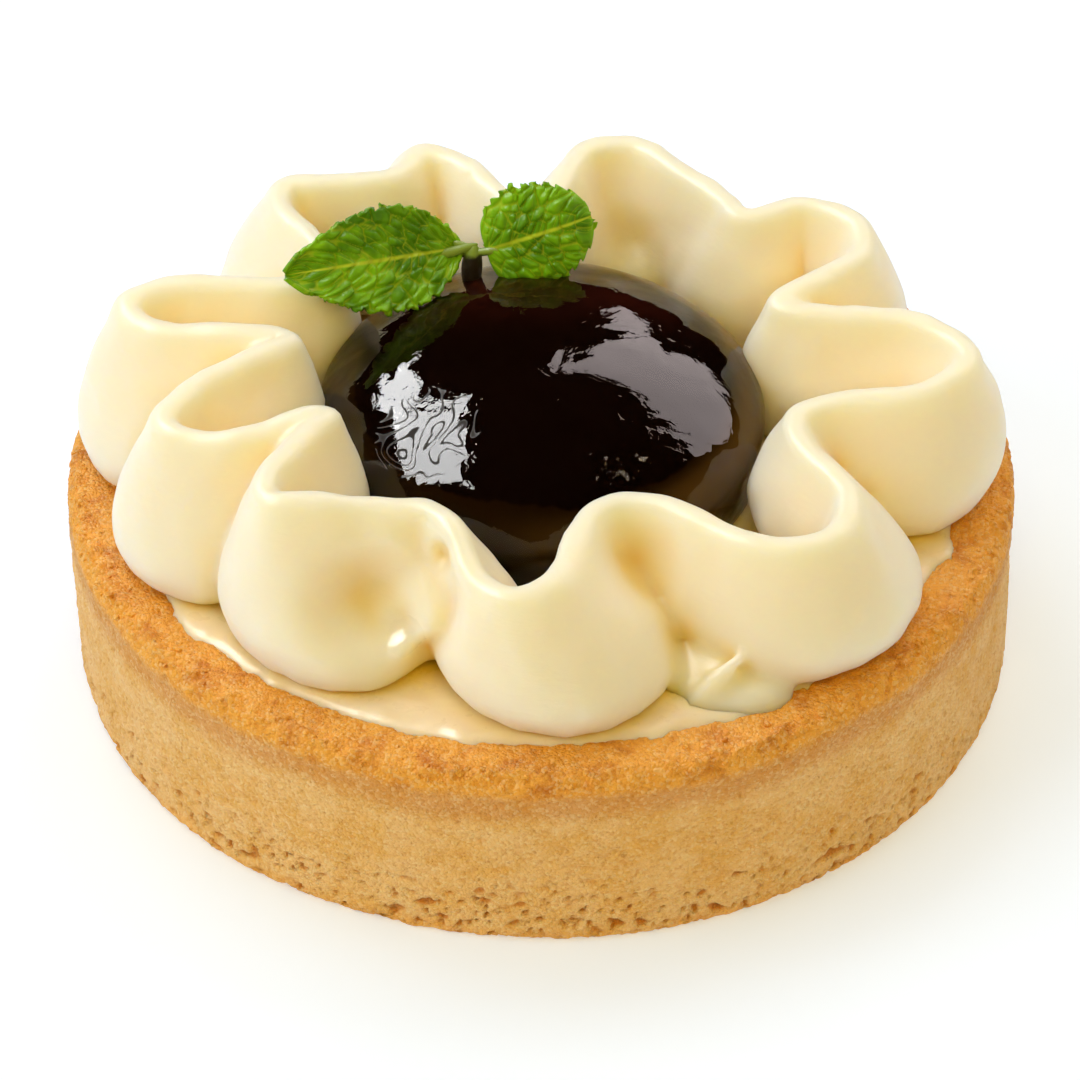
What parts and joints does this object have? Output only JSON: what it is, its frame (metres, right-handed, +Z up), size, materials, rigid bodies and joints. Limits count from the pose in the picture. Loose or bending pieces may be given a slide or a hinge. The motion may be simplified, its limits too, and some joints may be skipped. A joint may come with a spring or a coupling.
{
  "type": "berry ganache tart",
  "caption": "Round shortcrust tart filled level with set cream, ringed by a piped white ganache ruffle, with a glossy dark berry gel dome and a mint sprig on top.",
  "frame": {"origin": "middle of the shell's flat foot", "axes": "+Z up; -Y towards the side that the picture shows in front; +X to its right"},
  "size_m": [0.08, 0.08, 0.0362],
  "materials": {
    "shortcrust": "baked shortcrust, fine sandy crumb, matte, browner at the rim and foot",
    "cream": "set cream, smooth, moist satin",
    "ganache": "piped white ganache, smooth, soft satin with faint drag lines",
    "berry_gel": "dark berry gel under a clear glaze, wet gloss",
    "mint_leaf": "fresh leaf, quilted between pale veins, satin"
  },
  "bodies": {
    "root": {"tart_shell": "shortcrust", "cream_filling": "cream", "ganache_ruffle": "ganache", "berry_dome": "berry_gel", "mint_sprig": "mint_leaf"}
  },
  "joints": []
}
